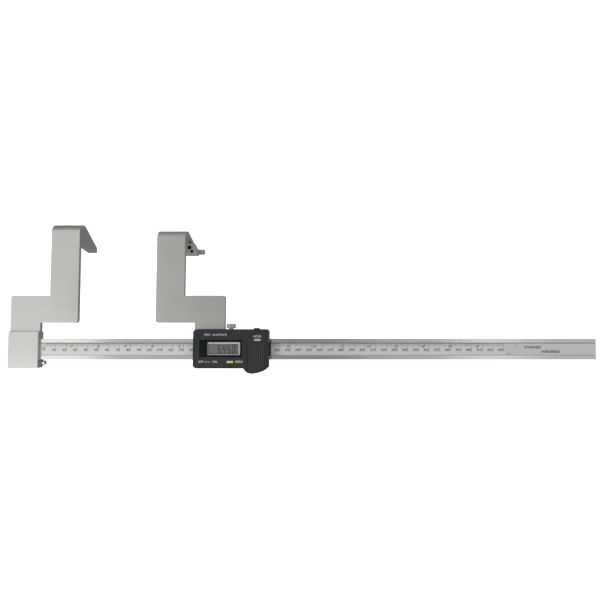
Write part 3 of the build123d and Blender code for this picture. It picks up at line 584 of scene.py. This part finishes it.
def segment(name, length):
    """One flat bar with pointed ends, along X about the origin."""
    piece = bar(
        name, (-length / 2, -STROKE / 2, LCD_Z), (length / 2, STROKE / 2, LCD_Z + PRINT_T)
    )
    bpy.ops.object.mode_set(mode="EDIT")
    bpy.ops.mesh.select_mode(type="EDGE")
    bpy.ops.mesh.select_all(action="DESELECT")
    bpy.ops.object.mode_set(mode="OBJECT")
    for edge in piece.data.edges:
        a, b = (piece.data.vertices[i].co for i in edge.vertices)
        edge.select = abs(a.z - b.z) > PRINT_T / 2
    bpy.ops.object.mode_set(mode="EDIT")
    bpy.ops.mesh.bevel(offset=STROKE * 0.48, segments=1, affect="EDGES")
    bpy.ops.object.mode_set(mode="OBJECT")
    return piece


def copy_at(piece, x, y, upright):
    """A copy with its own mesh, moved to its place and turned upright if asked."""
    made = piece.copy()
    made.data = piece.data.copy()
    bpy.context.collection.objects.link(made)
    made.location = (x, y, 0)
    made.rotation_euler = (0, 0, math.pi / 2 if upright else 0)
    apply_place(made)
    return made


def make_readout(black_ink):
    """The seven-segment reading and its unit, lying on the LCD."""
    gap = 0.12 * MM
    flat = segment("segment_flat", DIGIT_W - STROKE - gap)
    tall = segment("segment_tall", DIGIT_H / 2 - STROKE / 2 - gap)
    half_w = (DIGIT_W - STROKE) / 2
    half_h = (DIGIT_H - STROKE) / 2
    places = {
        "a": (flat, 0, half_h, False), "g": (flat, 0, 0, False), "d": (flat, 0, -half_h, False),
        "f": (tall, -half_w, half_h / 2, True), "b": (tall, half_w, half_h / 2, True),
        "e": (tall, -half_w, -half_h / 2, True), "c": (tall, half_w, -half_h / 2, True),
    }
    right = lcd_hi.x - 6.0 * MM
    digits = READOUT.replace(".", "")
    point_after = READOUT.index(".") - 1
    middle_y = (lcd_lo.y + lcd_hi.y) / 2 - 0.5 * MM
    pieces = []
    for i, digit in enumerate(digits):
        x = right - (len(digits) - 1 - i) * DIGIT_PITCH
        for letter in SEGMENTS[digit]:
            shape, dx, dy, upright = places[letter]
            pieces.append(copy_at(shape, x + dx, dy, upright))
        if i == point_after:
            point = copy_at(flat, 0, 0, False)
            point.scale = (0.38, 0.8, 1)
            point.location = (x + DIGIT_PITCH / 2 + 0.1 * MM, -half_h, 0)
            apply_place(point)
            pieces.append(point)
    for shape in (flat, tall):
        bpy.data.objects.remove(shape)
    readout = join("lcd_digits", pieces)
    for vertex in readout.data.vertices:
        vertex.co.x += vertex.co.y * DIGIT_SLANT
        vertex.co.y += middle_y
    dress(readout, black_ink, SLIDER)
    unit = lettering(
        [("in", right + 4.0 * MM, middle_y - half_h + 1.1 * MM, LCD_Z + PRINT_T / 2, "CENTER")],
        2.7 * MM, 0.03 * MM,
    )
    dress(join("lcd_unit", unit), black_ink, SLIDER)


# ---- labels on the head ----------------------------------------------------------------------------

def beside(node, side, gap):
    """The x just left (-1) or right (+1) of a node."""
    lo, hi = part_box(node)
    return lo.x - gap if side < 0 else hi.x + gap


def middle_of(node):
    lo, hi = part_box(node)
    return (lo + hi) / 2


def make_labels(white_ink):
    z = head_hi.z + PRINT_T / 2
    low_y = middle_of("on_off_button").y
    small = [
        ("OFF", beside("on_off_button", -1, 0.1 * MM), low_y, z, "RIGHT"),
        ("ON", beside("on_off_button", 1, 1.2 * MM), low_y, z, "LEFT"),
        ("ZERO", beside("zero_button", 1, 1.2 * MM), low_y, z, "LEFT"),
        ("HOLD", middle_of("hold_button").x - 0.2 * MM, middle_of("hold_button").y + 3.2 * MM, z, "CENTER"),
    ]
    units = [
        ("mm/inch", beside("mm_inch_button", 1, 1.2 * MM), middle_of("mm_inch_button").y, z, "LEFT")
    ]
    labels = lettering(small, 2.7 * MM, 0.02 * MM, 1.02) + lettering(units, 3.2 * MM, 0.02 * MM, 1.2)
    dress(join("head_labels", labels), white_ink, SLIDER)


def make_cover_arrow(black):
    """Small raised triangle on the battery cover that points the way it slides."""
    start_fresh()
    x = cover_hi.x - 11.4 * MM
    y = -6.3 * MM
    bpy.ops.mesh.primitive_cylinder_add(
        vertices=3, radius=1.7 * MM, depth=0.9 * MM, location=(x, y, cover_hi.z - 0.25 * MM),
        rotation=(0, 0, -math.pi / 2),
    )
    arrow = bpy.context.object
    apply_place(arrow)
    bpy.ops.object.mode_set(mode="EDIT")
    bpy.ops.mesh.select_all(action="SELECT")
    bpy.ops.mesh.bevel(offset=0.15 * MM, segments=2, affect="EDGES")
    bpy.ops.object.mode_set(mode="OBJECT")
    arrow.name = "cover_arrow"
    # The arrow wears the cover's material, so its raised top gets the painted highlight too.
    dress(arrow, black, COVER)


# ---- studio ------------------------------------------------------------------------------------

def glow_material(name, colour, strength):
    s = Shader(name)
    s.set(Base_Color=rgba(colour), Emission_Color=rgba(colour), Emission_Strength=strength)
    s.set(Roughness=0.9)
    return s.material


def make_floor():
    start_fresh()
    depth = cad_box[0].z - 0.5 * MM
    bpy.ops.mesh.primitive_plane_add(size=6, location=(0.26, 0, depth))
    floor = bpy.context.object
    floor.name = "floor"
    floor.data.materials.append(glow_material("floor_white", grey(0.9), 1.0))
    floor.visible_glossy = False
    floor.visible_diffuse = False


# brightness of the ceiling of diffusers, from left to right: (x in metres, brightness)
DIFFUSERS = (
    (-0.31, 1.15), (-0.25, 0.57), (-0.05, 0.56), (0.08, 0.32), (0.23, 0.32),
    (0.33, 0.54), (0.43, 0.56), (0.55, 0.97), (0.66, 0.60),
)
CEILING_LEFT = -0.5
CEILING_W = 1.4


def make_ceiling():
    """A ceiling of diffusers that polished steel mirrors; the camera looks through it."""
    start_fresh()
    bpy.ops.mesh.primitive_plane_add(size=1, location=(0.25, 0.05, 0.75))
    ceiling = bpy.context.object
    ceiling.name = "ceiling"
    ceiling.scale = (2.2, 1.5, 1)
    apply_place(ceiling)
    s = Shader("ceiling_diffusers")
    x, y, z = s.axes()
    stops = [((at - CEILING_LEFT) / CEILING_W, grey(level)) for at, level in DIFFUSERS]
    glow = s.ramp((x - CEILING_LEFT) / CEILING_W, stops)
    s.feed("Emission Color", glow)
    s.set(Base_Color=rgba(grey(0.0)), Emission_Strength=1.0)
    ceiling.data.materials.append(s.material)
    ceiling.visible_camera = False
    ceiling.visible_shadow = False


def soft_light(name, place, target, size, watts):
    light = bpy.data.lights.new(name, "AREA")
    light.shape = "RECTANGLE"
    light.size, light.size_y = size
    light.energy = watts
    lamp = bpy.data.objects.new(name, light)
    bpy.context.collection.objects.link(lamp)
    lamp.location = place
    aim = Vector(target) - Vector(place)
    lamp.rotation_mode = "QUATERNION"
    lamp.rotation_quaternion = aim.to_track_quat("-Z", "Y")
    return lamp


def make_world():
    """Even grey air, darker near the ground, which the sides and undersides mirror."""
    world = bpy.data.worlds.new("studio")
    world.use_nodes = True
    tree = world.node_tree
    place = tree.nodes.new("ShaderNodeTexCoord")
    split = tree.nodes.new("ShaderNodeSeparateXYZ")
    ramp = tree.nodes.new("ShaderNodeValToRGB")
    height = tree.nodes.new("ShaderNodeMath")
    height.operation = "MULTIPLY_ADD"
    height.inputs[1].default_value = 0.5
    height.inputs[2].default_value = 0.5
    ramp.color_ramp.elements[0].position = 0.45
    ramp.color_ramp.elements[0].color = (0.30, 0.30, 0.30, 1)
    ramp.color_ramp.elements[1].position = 0.70
    ramp.color_ramp.elements[1].color = (0.50, 0.50, 0.50, 1)
    tree.links.new(place.outputs["Generated"], split.inputs[0])
    tree.links.new(split.outputs[2], height.inputs[0])
    tree.links.new(height.outputs[0], ramp.inputs[0])
    tree.links.new(ramp.outputs[0], tree.nodes["Background"].inputs["Color"])
    bpy.context.scene.world = world


def make_studio():
    make_floor()
    make_ceiling()
    make_world()
    soft_light("key", (-0.55, -0.55, 0.75), (0.1, 0.0, 0), (0.5, 0.5), 6)
    soft_light("fill", (1.05, -0.6, 0.8), (0.45, 0, 0), (0.5, 0.5), 4)
    bpy.context.scene.view_settings.view_transform = "Standard"


def make_camera():
    """Straight above the beam, a little right of its middle, tipped slightly towards the jaws."""
    camera = bpy.data.cameras.new("camera")
    camera.sensor_width = 36.0
    camera.lens = 38.32
    camera.shift_x = -0.1573
    camera.shift_y = 0.0062
    placed = bpy.data.objects.new("camera", camera)
    bpy.context.collection.objects.link(placed)
    placed.location = (0.3462, 0.0121, 0.6065)
    placed.rotation_euler = (math.radians(2.91), 0, 0)
    bpy.context.scene.camera = placed


finish_nodes()
black_print = ink("ink_black", grey(0.012), grey(0.03))
red_print = ink("ink_dull_red", (0.16, 0.05, 0.04), (0.24, 0.09, 0.07))
white_print = ink("ink_white", grey(0.50), grey(0.66))
make_graduations(black_print)
make_numbers(black_print, red_print)
make_readout(black_print)
make_labels(white_print)
make_cover_arrow(NODES["battery_cover"].data.materials[0])
make_studio()
make_camera()
